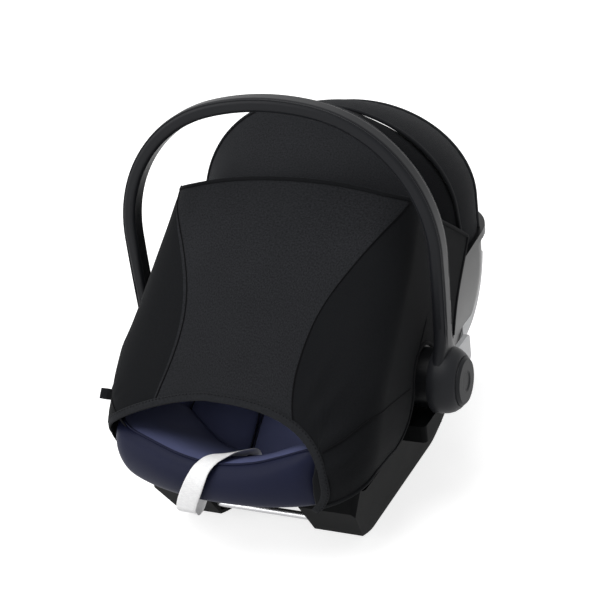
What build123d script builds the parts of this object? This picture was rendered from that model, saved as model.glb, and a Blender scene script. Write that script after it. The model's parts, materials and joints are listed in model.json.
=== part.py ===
from build123d import *
import math
import os

# Infant car seat with its carry handle upright, canopy open and a sun cover stretched over the front.
# Millimetres. Drawn about the handle's hub axis: +X to the side, +Y to the head end, +Z up.

# Carry handle: legs, corners and crown are tangent arcs in the plane y = 0
HANDLE_HALF_SPAN = 195.0
HANDLE_HEIGHT = 331.0
HANDLE_BULGE = 4.5
HANDLE_CORNER_RADIUS = 170.0
HANDLE_CROWN_RADIUS = 300.0
HANDLE_THICKNESS = 17.0
HANDLE_DEPTH = 24.0
HANDLE_EDGE_RADIUS = 6.0
HANDLE_LIP = 4.0
LINER_THICKNESS = 6.5
LINER_CLEARANCE = 0.15

# Handle hubs
HUB_RADIUS = 40.0
HUB_INSIDE = 8.5
HUB_OUTSIDE = 24.0
HUB_WALL = 4.0
HUB_EDGE_RADIUS = 8.0
HUB_WEB = 4.0
HUB_GAP = 0.4
CAP_RADIUS = 29.0
CAP_THICKNESS = 7.0
CAP_SEAT_DEPTH = 3.0
CAP_CLEARANCE = 0.1
BUTTON_RADIUS = 12.5
BUTTON_CLEARANCE = 0.3
BUTTON_TRAVEL = 4.0
BUTTON_DISH_DEPTH = 1.2
BASE_RADIUS = 36.0
BASE_FLOOR = 3.0
GEAR_TEETH = 12
GEAR_ROOT_RADIUS = 24.0
GEAR_TIP_RADIUS = 30.0
GEAR_TOOTH_WIDTH = 7.0
GEAR_THICKNESS = 7.0
GEAR_CLEARANCE = 0.3
SPRING_RADIUS = 14.0
SPRING_WIRE = 2.0
SPRING_TURNS = 2
PIN_RADIUS = 7.0
PIN_CLEARANCE = 0.05
PIN_HEAD_RADIUS = 11.0
PIN_HEAD_THICKNESS = 4.0
PIN_HEAD_SETBACK = 2.9

# Bucket shell: plan outlines from the floor to the head end, as (height, front, rear, half width)
TUB_LEVELS = [
    (-150.0, 84.0, 105.0, 84.0),
    (-110.0, 142.0, 186.0, 114.0),
    (-60.0, 182.0, 270.0, 141.0),
    (0.0, 196.0, 322.0, 157.0),
    (55.0, 202.0, 336.0, 161.0),
    (110.0, 205.0, 342.0, 158.0),
]
TUB_BOWS = (0.22, 0.29)
TUB_CORNERS = (0.30, 0.45)
SHELL_WALL = 3.5
RIM_FRONT = -45.0
RIM_RISE_START = -150.0
RIM_RISE_END = -58.0
RIM_HUB = 54.0
RIM_HEAD = 96.0
HEAD_REACH = 360.0
SIDE_REACH = 260.0
RIM_ROLL = 6.0
RIM_ROLL_HEIGHT = 9.0
RIM_ROLL_START = 71.0

# Rockers under the shell
ROCKER_DEPTH = 170.0
ROCKER_INSIDE = 63.0
ROCKER_OUTSIDE_FOOT = 122.0
ROCKER_OUTSIDE_TOP = 139.0
ROCKER_TOP = -72.0
ROCKER_EDGE_RADIUS = 9.0
ROCKER_NOSE = (-152.0, -103.0)
ROCKER_TOE = (-118.0, -154.0)
REST_FRONT = -38.0
REST_REAR = 62.0
ROCKER_HEEL = (160.0, -150.0)
ROCKER_TAIL = (240.0, -74.0)
ROCKER_WALL = 4.5
ROCKER_RIBS = [-92.0, -30.0, 32.0, 94.0]
ROCKER_RIB = 3.0
BAR_RADIUS = 4.5
BAR_SEAT = 16.0
BAR_BOSS_WALL = 5.0
FRONT_BAR = (-119.0, -137.0)
REAR_BAR = (170.0, -133.0)

# Fittings on the flanks and back
BRACKET_FRONT = -46.0
BRACKET_REAR = 12.0
BRACKET_TOP = -41.0
BRACKET_BOTTOM = -62.0
BRACKET_OUTSIDE = 185.0
SOCKET_WALL = 6.0
HOOK_FRONT = 64.0
HOOK_REAR = 108.0
HOOK_BOTTOM = -26.0
HOOK_TOP = 8.0
HOOK_OUTSIDE = 191.0
HOOK_WALL = 6.0
BACK_GUIDE_THICKNESS = 4.0
BACK_GUIDE_HALF_WIDTH = 152.0
BACK_GUIDE_FRONT = 190.0
BACK_GUIDE_TOP = 40.0
BACK_GUIDE_BOTTOM = -66.0

# Padding
FOAM_THICKNESS = 12.0
FOAM_BELOW_RIM = 34.0
PAD_THICKNESS = 22.0
PAD_BELOW_RIM = 12.0
BACK_PAD_BELOW_RIM = 36.0
LAYER_GAP = 0.4
PAD_SPLIT = 66.0
BOLSTER_OUT = 8.0
BOLSTER_IN = 26.0
BOLSTER_TOP = -26.0
BOLSTER_BOTTOM = -92.0
BOLSTER_BACK = -78.0

# Head rest, on the sloping back
BACK_SLOPE = 32.0
HEADREST_START = 168.0
HEADREST_LENGTH = 84.0
HEADREST_HALF_WIDTH = 96.0
HEADREST_WING = 66.0
HEADREST_THICKNESS = 22.0
HEADREST_CORNER = 33.0
HEADREST_SEAT = 31.0
HEADREST_TRAVEL = 30.0
GUIDE_HALF_WIDTH = 22.0
GUIDE_DEPTH = 60.0

# Harness
WEB_THICKNESS = 1.8
WEB_WIDTH = 32.0
WEB_SPACING = 34.0
WEB_SLOT = 6.0
WEB_LIFT = 33.0
SHOULDER_SLOT = 146.0
SHOULDER_PAD_THICKNESS = 8.0
SHOULDER_PAD_WIDTH = 48.0
SHOULDER_PAD_SPAN = (0.3, 0.72)
WEB_CLEARANCE = 0.35
BUCKLE_PLACE = (30.0, -70.0)
BUCKLE_SIZE = (46.0, 20.0, 58.0)
BUCKLE_EDGE_RADIUS = 5.0
PRESS_SIZE = (24.0, 9.0, 16.0)
PRESS_CLEARANCE = 0.4
PRESS_TRAVEL = 3.0
TONGUE_WIDTH = 16.0
TONGUE_SPACING = 12.0
TONGUE_THICKNESS = 3.0
TONGUE_DEPTH = 12.0
TONGUE_HEIGHT = 26.0
ANCHOR_SIZE = (56.0, 16.0, 2.5)
ADJUSTER_HALF_WIDTH = 24.0
ADJUSTER_BACK = -138.0
ADJUSTER_TOP = -58.0
ADJUSTER_BOTTOM = -92.0
ADJUSTER_BUTTON = (26.0, 10.0, 12.0)
ADJUSTER_TRAVEL = 4.0

# White pull strap: lies over the front bolster, turned to one side, and hangs in a loop
PULL_WIDTH = 25.0
PULL_TURN = 28.0
PULL_DROP = -92.0
PULL_LOOP = 11.0

# Canopy: arches as (crown y, crown z, foot y, half width), feet at one height
CANOPY_FOOT = 62.0
CANOPY_CLOTH = 2.5
VISOR_ARCH = (44.0, 230.0, 78.0, 147.0)
BOW_ARCH = (100.0, 303.0, 105.0, 151.0)
MAIN_ARCH = (222.0, 236.0, 170.0, 152.0)
BAND_FRONT_ARCH = (164.0, 277.0, 153.0, 156.0)
BAND_REAR_ARCH = (256.0, 255.0, 262.0, 156.0)
ARCH_SHOULDER = 0.36
BOW_DEPTH = 7.0
BOW_THICKNESS = 4.0
BOW_INSET = 4.6
REAR_BOW_INSET = 9.0
CLIP_DEPTH = 20.0
CLIP_HEIGHT = 9.0
CLIP_INSIDE = 139.0

# Sun cover: plan outlines from the skirt to the top edge, as (height, front, half width)
COVER_LEVELS = [
    (-82.0, 203.0, 151.0),
    (-20.0, 216.0, 167.0),
    (42.0, 182.0, 170.0),
    (100.0, 112.0, 168.0),
    (160.0, 40.0, 164.0),
    (215.0, -16.0, 154.0),
    (244.0, -48.0, 132.0),
]
COVER_BACK = 300.0
COVER_BOWS = (0.18, 0.10)
COVER_CORNERS = (0.30, 0.20)
COVER_CLOTH = 2.5
COVER_SKIRT = [(-300.0, -72.0), (-190.0, -68.0), (-150.0, -54.0), (-84.0, -52.0), (-56.0, -36.0)]
COVER_SKIRT_REAR = [(44.0, -38.0), (50.0, 8.0), (106.0, 3.0), (2 * HEAD_REACH, 3.0)]
COVER_EDGE = [
    (40.0, 300.0),
    (40.0, 236.0),
    (57.0, 200.0),
    (80.0, 172.0),
    (123.0, 145.0),
    (191.0, 102.0),
    (106.0, 3.0),
]
COVER_HUB_RADIUS = 39.0
HEM_HALF_WIDTH = 121.0
HEM_TOP = 40.0
HEM_SHOULDER = -36.0
HEM_BEND = (0.72, 0.79)
HEM_CENTRE = -8.0
HEM_BINDING = 8.0
HEM_PROUD = 1.2

SIDES = {"left": -1, "right": 1}


# Plan outline of a bucket: bowed ends, straight sides, rounded corners, all in shares of its half width
def plan_outline(front, rear, half, bows, corners):
    nose_bow = bows[0] * half
    tail_bow = bows[1] * half
    nose = ThreePointArc((-half, nose_bow - front), (0, -front), (half, nose_bow - front))
    tail = ThreePointArc((half, rear - tail_bow), (0, rear), (-half, rear - tail_bow))
    face = make_face([nose, Line(nose @ 1, tail @ 0), tail, Line(tail @ 1, nose @ 0)])
    face = fillet(face.vertices().sort_by(Axis.Y)[:2], corners[0] * half)
    return fillet(face.vertices().sort_by(Axis.Y)[-2:], corners[1] * half)


# The bucket's solid form, grown outwards or shrunk by a distance
def tub(grow):
    sections = []
    for index, (height, front, rear, half) in enumerate(TUB_LEVELS):
        level = height - grow if index == 0 else height
        outline = plan_outline(front + grow, rear + grow, half + grow, TUB_BOWS, TUB_CORNERS)
        sections.append(Pos(0, 0, level) * outline)
    return loft(sections)


# Solid standing on a side outline (y, z), between two x planes
def side_prism(face, x_from, x_to):
    return extrude(Plane.YZ.offset(x_from) * face, x_to - x_from, dir=(1, 0, 0))


def wide_prism(face):
    return side_prism(face, -SIDE_REACH, SIDE_REACH)


# Everything above the shell's rim line, raised by a distance
def above_rim(lift):
    front = Line((-2 * SIDE_REACH, RIM_FRONT + lift), (RIM_RISE_START, RIM_FRONT + lift))
    slope = (RIM_HEAD - RIM_HUB) / (HEAD_REACH - RIM_RISE_END)
    rise = Spline(front @ 1, (RIM_RISE_END, RIM_HUB + lift), tangents=[(1, 0), (1, slope)])
    reach = 2 * HEAD_REACH
    head = Line(rise @ 1, (reach, RIM_HUB + lift + slope * (reach - RIM_RISE_END)))
    lid = Polyline(head @ 1, (reach, 2 * HEAD_REACH), (-2 * SIDE_REACH, 2 * HEAD_REACH), front @ 0)
    return wide_prism(make_face([front, rise, head, lid]))


# Cylinder along X between two x planes
def side_cylinder(radius, x_from, x_to, place=(0, 0)):
    disc = Plane.YZ.offset(x_from) * Pos(*place) * Circle(radius)
    return extrude(disc, x_to - x_from)


def block(x_range, y_range, z_range):
    size = [high - low for low, high in (x_range, y_range, z_range)]
    centre = [(high + low) / 2 for low, high in (x_range, y_range, z_range)]
    return Pos(*centre) * Box(*size)


# Solid of revolution about the hub axis from (x, radius) points
def turned(points):
    return revolve(make_face(Polyline(*points, close=True)), Axis.X)


def both_sides(name, part):
    return {name + "_right": part, name + "_left": mirror(part, about=Plane.YZ)}


# Shell, foam and padding share the bucket form; each layer lies inside the one before
FOAM_OUT = -(SHELL_WALL + LAYER_GAP)
FOAM_IN = FOAM_OUT - FOAM_THICKNESS
PAD_OUT = FOAM_IN - LAYER_GAP
PAD_IN = PAD_OUT - PAD_THICKNESS
HUB_FACE = HANDLE_HALF_SPAN - HUB_INSIDE
HUB_RIM = HANDLE_HALF_SPAN + HUB_OUTSIDE
hub_width = TUB_LEVELS[3][3]
slope_up = (math.cos(math.radians(BACK_SLOPE)), math.sin(math.radians(BACK_SLOPE)))
slope_out = (-slope_up[1], slope_up[0])


# Height of the shell's sloping back, outside, at a distance behind the hub axis
def back_height(y):
    low, high = TUB_LEVELS[0], TUB_LEVELS[3]
    return low[0] + (y - low[2]) * (high[0] - low[0]) / (high[2] - low[2])


# Frame on the sloping back: x across, y out of the back, z up the back
def back_plane(y, out):
    origin = (0, y + slope_out[0] * out, back_height(y) + slope_out[1] * out)
    return Plane(origin=origin, x_dir=(-1, 0, 0), z_dir=(0, slope_up[0], slope_up[1]))


# Slots that the shoulder webbing and the crotch webbing pass through
def harness_slots():
    slots = []
    for side in SIDES.values():
        hole = Box(WEB_WIDTH + WEB_SLOT, 4 * PAD_THICKNESS + SHELL_WALL, WEB_SLOT)
        slots.append(back_plane(SHOULDER_SLOT, PAD_THICKNESS) * Pos(side * WEB_SPACING, 0, 0) * hole)
    low = TUB_LEVELS[0][0]
    slots.append(Pos(0, BUCKLE_PLACE[0], low) * Box(WEB_WIDTH + WEB_SLOT, WEB_SLOT, 4 * PAD_THICKNESS))
    return slots


def adjuster_pocket(gap):
    half = ADJUSTER_HALF_WIDTH + gap
    heights = (ADJUSTER_BOTTOM - gap, ADJUSTER_TOP + gap)
    return block((-half, half), (-SIDE_REACH, ADJUSTER_BACK + gap), heights)


def pin_bores(radius):
    return side_cylinder(radius, -SIDE_REACH, SIDE_REACH)


def build_shell():
    shell = tub(0) - tub(-SHELL_WALL) - above_rim(0) - pin_bores(PIN_RADIUS)
    roll = tub(RIM_ROLL) - tub(0) - above_rim(0)
    roll = roll & above_rim(-RIM_ROLL_HEIGHT)
    roll = roll & block((-SIDE_REACH, SIDE_REACH), (RIM_ROLL_START, 2 * HEAD_REACH),
                        (RIM_HUB - RIM_ROLL_HEIGHT, 2 * HEAD_REACH))
    shell = shell + roll
    for slot in harness_slots():
        shell = shell - slot
    return shell


def build_padding():
    foam = tub(FOAM_OUT) - tub(FOAM_IN) - above_rim(-FOAM_BELOW_RIM)
    foam = foam - pin_bores(PIN_HEAD_RADIUS + LAYER_GAP)
    pad = tub(PAD_OUT) - tub(PAD_IN) - above_rim(-PAD_BELOW_RIM)
    pocket = Pos(0, ADJUSTER_TRAVEL + LAYER_GAP, 0) * adjuster_pocket(LAYER_GAP)
    pad = pad - pocket
    foam = foam - pocket
    for slot in harness_slots():
        foam = foam - slot
        pad = pad - slot
    front_zone = block((-SIDE_REACH, SIDE_REACH), (-SIDE_REACH, PAD_SPLIT), (-SIDE_REACH, SIDE_REACH))
    rear_zone = block((-SIDE_REACH, SIDE_REACH), (PAD_SPLIT + LAYER_GAP, 2 * HEAD_REACH),
                      (-SIDE_REACH, SIDE_REACH))
    bolster = tub(BOLSTER_OUT) - tub(-BOLSTER_IN)
    bolster = bolster & block((-SIDE_REACH, SIDE_REACH), (-SIDE_REACH, BOLSTER_BACK),
                              (BOLSTER_BOTTOM, BOLSTER_TOP))
    bolster = bolster - (tub(LAYER_GAP) - above_rim(LAYER_GAP))
    back_pad = (pad & rear_zone) - above_rim(-BACK_PAD_BELOW_RIM)
    return {"foam_liner": foam, "seat_pad": pad & front_zone, "back_pad": back_pad, "front_bolster": bolster}


def rocker_side(inset):
    nose_to_toe = Line(ROCKER_NOSE, ROCKER_TOE)
    depth = -ROCKER_DEPTH
    front = TangentArc((REST_FRONT, depth), ROCKER_TOE, tangent=(-1, 0))
    flat = Line((REST_FRONT, depth), (REST_REAR, depth))
    rear = ThreePointArc((REST_REAR, depth), ROCKER_HEEL, ROCKER_TAIL)
    lid = Polyline(ROCKER_TAIL, (ROCKER_TAIL[0], 0), (ROCKER_NOSE[0], 0), ROCKER_NOSE)
    face = make_face([nose_to_toe, front, flat, rear, lid])
    return face if inset == 0 else offset(face, -inset)


# Rocker section seen from the front, outer face leaning out with the shell
def rocker_front(inset):
    foot = -ROCKER_DEPTH + inset
    outline = Polygon((ROCKER_INSIDE, foot), (ROCKER_OUTSIDE_FOOT - inset, foot),
                      (ROCKER_OUTSIDE_TOP - inset, ROCKER_TOP), (ROCKER_INSIDE, ROCKER_TOP), align=None)
    outer = outline.vertices().sort_by(Axis.Y)[:2].sort_by(Axis.X)[-1]
    outline = fillet(outer, ROCKER_EDGE_RADIUS)
    return extrude(Plane.XZ * outline, 2 * HEAD_REACH, both=True)


def build_rockers():
    flank = TUB_LEVELS[2]
    outline = plan_outline(flank[1], flank[2], flank[3], TUB_BOWS, TUB_CORNERS)
    rail = side_prism(rocker_side(0), 0, SIDE_REACH) & rocker_front(0)
    rail = rail & extrude(outline, -2 * ROCKER_DEPTH)
    bolster = block((-SIDE_REACH, SIDE_REACH), (-SIDE_REACH, BOLSTER_BACK + LAYER_GAP),
                    (BOLSTER_BOTTOM - LAYER_GAP, 0))
    rail = rail - tub(0) - (tub(BOLSTER_OUT + LAYER_GAP) & bolster)
    pocket = side_prism(rocker_side(ROCKER_WALL), 0, SIDE_REACH) & rocker_front(ROCKER_WALL)
    for place in ROCKER_RIBS:
        rib = block((0, SIDE_REACH), (place, place + ROCKER_RIB), (-SIDE_REACH, SIDE_REACH))
        pocket = pocket - rib
    seat_end = ROCKER_INSIDE + BAR_SEAT
    for bar in (FRONT_BAR, REAR_BAR):
        pocket = pocket - side_cylinder(BAR_RADIUS + BAR_BOSS_WALL, 0, seat_end + BAR_BOSS_WALL, bar)
    rail = rail - pocket
    nodes = {}
    for bar in (FRONT_BAR, REAR_BAR):
        rail = rail - side_cylinder(BAR_RADIUS + PIN_CLEARANCE, 0, seat_end, bar)
    rail = rail.solids().sort_by(SortBy.VOLUME)[-1]
    nodes.update(both_sides("rocker", rail))
    nodes["front_latch_bar"] = side_cylinder(BAR_RADIUS, -seat_end, seat_end, FRONT_BAR)
    nodes["rear_latch_bar"] = side_cylinder(BAR_RADIUS, -seat_end, seat_end, REAR_BAR)
    return nodes


def handle_path():
    half = HANDLE_HALF_SPAN + HANDLE_BULGE
    step = HANDLE_CROWN_RADIUS - HANDLE_CORNER_RADIUS
    lean = math.asin((half - HANDLE_CORNER_RADIUS) / step)
    crown = HANDLE_HEIGHT - HANDLE_CROWN_RADIUS
    corner = (half - HANDLE_CORNER_RADIUS, crown + step * math.cos(lean))
    turn = (math.pi / 2 - lean) / 2
    leg_radius = (corner[1] ** 2 + HANDLE_BULGE ** 2) / (2 * HANDLE_BULGE)
    leg_bow = math.sqrt(leg_radius ** 2 - corner[1] ** 2 / 4) - leg_radius
    foot = (HANDLE_HALF_SPAN, 0, 0)
    leg = (half + leg_bow, 0, corner[1] / 2)
    waist = (half, 0, corner[1])
    bend_x = corner[0] + HANDLE_CORNER_RADIUS * math.cos(turn)
    bend = (bend_x, 0, corner[1] + HANDLE_CORNER_RADIUS * math.sin(turn))
    join = (HANDLE_CROWN_RADIUS * math.sin(lean), 0, crown + HANDLE_CROWN_RADIUS * math.cos(lean))
    right = [(foot, leg, waist), (waist, bend, join)]
    edges = [ThreePointArc(*points) for points in right]
    edges.append(ThreePointArc(join, (0, 0, HANDLE_HEIGHT), (-join[0], 0, join[2])))
    for points in reversed(right):
        edges.append(ThreePointArc(*[(-x, y, z) for x, y, z in reversed(points)]))
    return Wire(edges)


def build_handle():
    path = handle_path()
    plane = Plane(origin=path @ 0, x_dir=(1, 0, 0), z_dir=path % 0)
    inner_face = -HANDLE_THICKNESS / 2
    liner_depth = HANDLE_DEPTH - 2 * HANDLE_LIP
    channel_size = (LINER_THICKNESS + 2 * LINER_CLEARANCE, liner_depth + 2 * LINER_CLEARANCE)
    outline = RectangleRounded(HANDLE_THICKNESS, HANDLE_DEPTH, HANDLE_EDGE_RADIUS)
    liner = Pos(inner_face + LINER_THICKNESS / 2, 0) * Rectangle(LINER_THICKNESS, liner_depth)
    channel = Pos(inner_face + LINER_THICKNESS / 2, 0) * Rectangle(*channel_size)
    drums = side_cylinder(HUB_RADIUS, -SIDE_REACH, SIDE_REACH)
    arch = sweep(plane * outline, path) - sweep(plane * channel, path) - drums
    return {"handle_arch": arch, "handle_liner": sweep(plane * liner, path) - drums}


def gear_outline(gap):
    outline = Circle(GEAR_ROOT_RADIUS + gap)
    reach = GEAR_TIP_RADIUS - GEAR_ROOT_RADIUS / 2
    tooth = Pos(GEAR_ROOT_RADIUS / 2 + reach / 2, 0) * Rectangle(reach + 2 * gap, GEAR_TOOTH_WIDTH + 2 * gap)
    for place in PolarLocations(0, GEAR_TEETH):
        outline = outline + place * tooth
    return outline


def build_hubs():
    base_face = HUB_FACE - HUB_GAP
    gear_face = base_face - GEAR_CLEARANCE
    gear_back = gear_face - GEAR_THICKNESS
    pin_end = HANDLE_HALF_SPAN + HUB_WEB / 2
    floor = hub_width + BASE_FLOOR
    base = side_cylinder(BASE_RADIUS, hub_width / 2, base_face) - tub(0)
    pocket = extrude(Plane.YZ.offset(gear_back) * gear_outline(GEAR_CLEARANCE), HUB_OUTSIDE)
    base = base - pocket - side_cylinder(SPRING_RADIUS + SPRING_WIRE, floor, base_face)
    base = base - side_cylinder(PIN_RADIUS, 0, base_face)
    gear = extrude(Plane.YZ.offset(gear_back) * gear_outline(0), GEAR_THICKNESS)
    gear = gear - side_cylinder(PIN_RADIUS + GEAR_CLEARANCE, 0, SIDE_REACH)
    pitch = (gear_back - floor - SPRING_WIRE) / SPRING_TURNS
    coil = Helix(pitch, pitch * SPRING_TURNS, SPRING_RADIUS, direction=(1, 0, 0))
    wire = Plane(origin=coil @ 0, z_dir=coil % 0) * Circle(SPRING_WIRE / 2)
    spring = Pos(floor + SPRING_WIRE / 2, 0, 0) * sweep(wire, Wire([coil]))
    head = hub_width - SHELL_WALL - PIN_HEAD_SETBACK
    pin = side_cylinder(PIN_RADIUS, head, pin_end)
    pin = pin + side_cylinder(PIN_HEAD_RADIUS, head - PIN_HEAD_THICKNESS, head)
    web = HANDLE_HALF_SPAN
    inner = HUB_RADIUS - HUB_WALL
    rim = HUB_RADIUS - HUB_EDGE_RADIUS
    seat = HUB_RIM - CAP_SEAT_DEPTH
    bore = PIN_RADIUS + PIN_CLEARANCE
    cap_seat = CAP_RADIUS + CAP_CLEARANCE
    housing = turned([(HUB_FACE, inner), (HUB_FACE, HUB_RADIUS), (HUB_RIM - HUB_EDGE_RADIUS, HUB_RADIUS),
                      (HUB_RIM, rim), (HUB_RIM, cap_seat), (seat, cap_seat), (seat, CAP_RADIUS - HUB_WALL),
                      (web + HUB_WEB, inner - HUB_WALL), (web + HUB_WEB, bore), (web, bore), (web, inner)])
    hole = BUTTON_RADIUS + BUTTON_CLEARANCE
    cap_face = seat + CAP_THICKNESS
    cap = turned([(seat, hole), (seat, CAP_RADIUS), (cap_face - CAP_SEAT_DEPTH, CAP_RADIUS),
                  (cap_face, CAP_RADIUS - CAP_SEAT_DEPTH), (cap_face, hole)])
    button_back = web + HUB_WEB + BUTTON_TRAVEL + GEAR_CLEARANCE
    flange = BUTTON_RADIUS + HUB_WALL
    button = turned([(button_back, 0), (button_back, flange), (seat - GEAR_CLEARANCE, flange),
                     (seat - GEAR_CLEARANCE, BUTTON_RADIUS), (cap_face, BUTTON_RADIUS),
                     (cap_face - BUTTON_DISH_DEPTH, BUTTON_RADIUS - 2 * BUTTON_DISH_DEPTH),
                     (cap_face - BUTTON_DISH_DEPTH, 0)])
    nodes = {}
    pieces = {"hub_base": base, "lock_gear": gear, "lock_spring": spring, "pivot_pin": pin,
              "hub_housing": housing, "hub_cap": cap, "release_button": button}
    for name, part in pieces.items():
        nodes.update(both_sides(name, part))
    return nodes


def build_fittings():
    bracket = block((0, BRACKET_OUTSIDE), (BRACKET_FRONT, BRACKET_REAR), (BRACKET_BOTTOM, BRACKET_TOP))
    bracket = fillet(bracket.edges().filter_by(Axis.Z).sort_by(Axis.X)[-2:], SOCKET_WALL)
    bracket = bracket - tub(0)
    socket = block((hub_width + SOCKET_WALL, BRACKET_OUTSIDE - SOCKET_WALL),
                   (BRACKET_FRONT + SOCKET_WALL, BRACKET_REAR - SOCKET_WALL),
                   (BRACKET_BOTTOM - SOCKET_WALL, BRACKET_TOP - SOCKET_WALL))
    hook = block((0, HOOK_OUTSIDE), (HOOK_FRONT, HOOK_REAR), (HOOK_BOTTOM, HOOK_TOP))
    hook = fillet(hook.edges().filter_by(Axis.X), HOOK_WALL)
    belt = block((0, HOOK_OUTSIDE - HOOK_WALL), (HOOK_FRONT - HOOK_WALL, HOOK_REAR + HOOK_WALL),
                 (HOOK_BOTTOM + HOOK_WALL, HOOK_TOP + HOOK_WALL))
    hook = hook - belt - tub(0)
    guide = tub(BACK_GUIDE_THICKNESS) - tub(0)
    guide = guide & block((-BACK_GUIDE_HALF_WIDTH, BACK_GUIDE_HALF_WIDTH), (BACK_GUIDE_FRONT, 2 * HEAD_REACH),
                          (BACK_GUIDE_BOTTOM, BACK_GUIDE_TOP))
    nodes = {"back_belt_guide": guide}
    nodes.update(both_sides("adapter_bracket", bracket - socket))
    nodes.update(both_sides("belt_hook", hook))
    return nodes


def build_headrest():
    half = HEADREST_HALF_WIDTH
    inside = half - HEADREST_THICKNESS
    outer = Polygon((-half, 0), (half, 0), (half, HEADREST_WING), (-half, HEADREST_WING), align=None)
    outer = fillet(outer.vertices().group_by(Axis.Y)[0], HEADREST_CORNER)
    hollow = Polygon((-inside, HEADREST_THICKNESS), (inside, HEADREST_THICKNESS), (inside, 2 * HEADREST_WING),
                     (-inside, 2 * HEADREST_WING), align=None)
    hollow = fillet(hollow.vertices().group_by(Axis.Y)[0], HEADREST_THICKNESS)
    cradle = extrude(outer - hollow, HEADREST_LENGTH)
    run = HEADREST_LENGTH + HEADREST_TRAVEL
    guide = block((-GUIDE_HALF_WIDTH, GUIDE_HALF_WIDTH), (-GUIDE_DEPTH, -LAYER_GAP), (0, run))
    seat = back_plane(HEADREST_START, HEADREST_SEAT)
    return {"headrest": seat * cradle, "headrest_guide": (seat * guide) & tub(PAD_IN - LAYER_GAP)}


# Flat webbing: a thin strip along a side-view route, centred on an x place
def webbing(route, thickness, width, x):
    return side_prism(trace(route, thickness), x - width / 2, x + width / 2)


def build_harness():
    slot = back_plane(SHOULDER_SLOT, PAD_THICKNESS).origin
    slot_in = (slot.Y, slot.Z)
    slot_out = (slot.Y + slope_out[0] * WEB_LIFT, slot.Z + slope_out[1] * WEB_LIFT)
    buckle_y, buckle_z = BUCKLE_PLACE
    width, depth, height = BUCKLE_SIZE
    buckle_top = buckle_z + height / 2
    tongue_top = buckle_top + TONGUE_HEIGHT - TONGUE_DEPTH
    end = (buckle_y + TONGUE_THICKNESS, tongue_top - WEB_THICKNESS)
    crest = ((slot_out[0] + end[0]) / 2, max(slot_out[1], end[1]) + PAD_THICKNESS)
    belly = Spline(slot_in, slot_out, crest, end)
    nodes = {}
    press = block((-PRESS_SIZE[0] / 2, PRESS_SIZE[0] / 2), (-depth, PRESS_SIZE[1] - depth / 2),
                  (-PRESS_SIZE[2] / 2, PRESS_SIZE[2] / 2))
    room = offset(press, PRESS_CLEARANCE, kind=Kind.INTERSECTION)
    room = room + Pos(0, PRESS_TRAVEL, 0) * room
    buckle = fillet(Box(width, depth, height).edges(), BUCKLE_EDGE_RADIUS) - room
    press = press & block((-width, width), (-depth / 2 - PRESS_TRAVEL / 2, depth), (-height, height))
    place = Pos(0, buckle_y, buckle_z)
    buckle = place * buckle
    for name, side in SIDES.items():
        across = side * TONGUE_SPACING
        tongue = block((across - TONGUE_WIDTH / 2, across + TONGUE_WIDTH / 2),
                       (buckle_y - TONGUE_THICKNESS / 2, buckle_y + TONGUE_THICKNESS / 2),
                       (buckle_top - TONGUE_DEPTH, tongue_top))
        buckle = buckle - offset(tongue, WEB_CLEARANCE, kind=Kind.INTERSECTION)
        strap = webbing(belly, WEB_THICKNESS, WEB_WIDTH, side * WEB_SPACING)
        pad_route = belly.trim(*SHOULDER_PAD_SPAN)
        sleeve = webbing(pad_route, SHOULDER_PAD_THICKNESS, SHOULDER_PAD_WIDTH, side * WEB_SPACING)
        sleeve = sleeve - webbing(belly, WEB_THICKNESS + 2 * WEB_CLEARANCE, WEB_WIDTH + 2 * WEB_CLEARANCE,
                                  side * WEB_SPACING)
        nodes["buckle_tongue_" + name] = tongue
        nodes["shoulder_strap_" + name] = strap
        nodes["shoulder_pad_" + name] = sleeve
    floor = TUB_LEVELS[0][0]
    crotch = block((-WEB_WIDTH / 2, WEB_WIDTH / 2),
                   (buckle_y - WEB_THICKNESS / 2, buckle_y + WEB_THICKNESS / 2),
                   (floor, buckle_z - height / 2))
    anchor = Pos(0, buckle_y, floor - ANCHOR_SIZE[2] / 2) * Box(*ANCHOR_SIZE)
    nodes["buckle_body"] = buckle
    nodes["buckle_button"] = place * press
    nodes["crotch_strap"] = crotch
    nodes["crotch_anchor"] = anchor
    return nodes


def build_adjuster():
    housing = adjuster_pocket(0) & tub(FOAM_OUT)
    width, depth, height = ADJUSTER_BUTTON
    centre = (ADJUSTER_TOP + ADJUSTER_BOTTOM) / 2
    proud = ADJUSTER_BACK + ADJUSTER_TRAVEL
    button = block((-width / 2, width / 2), (proud - depth, proud),
                   (centre - height / 2, centre + height / 2))
    room = offset(button, PRESS_CLEARANCE, kind=Kind.INTERSECTION)
    room = room + Pos(0, -ADJUSTER_TRAVEL, 0) * room
    return {"adjuster_housing": housing - room, "adjuster_button": button}


def build_pull_strap():
    lift = WEB_THICKNESS / 2 + LAYER_GAP
    over = BOLSTER_TOP + lift
    start = (-LAYER_GAP, ADJUSTER_TOP + lift)
    turn = math.cos(math.radians(PULL_TURN))
    front_run = TUB_LEVELS[3][1] + BOLSTER_OUT + ADJUSTER_BACK + 2 * lift
    face = front_run / turn + PULL_LOOP
    route = FilletPolyline(start, (start[0], over), (face + PULL_LOOP, over), (face + PULL_LOOP, PULL_DROP),
                           (face, PULL_DROP), (face, over - PULL_LOOP), radius=PULL_LOOP / 2 - LAYER_GAP)
    strip = extrude(Plane.YZ * mirror(trace(route, WEB_THICKNESS), about=Plane.YZ), PULL_WIDTH / 2, both=True)
    return Pos(0, ADJUSTER_BACK, 0) * Rot(0, 0, -PULL_TURN) * strip


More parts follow.
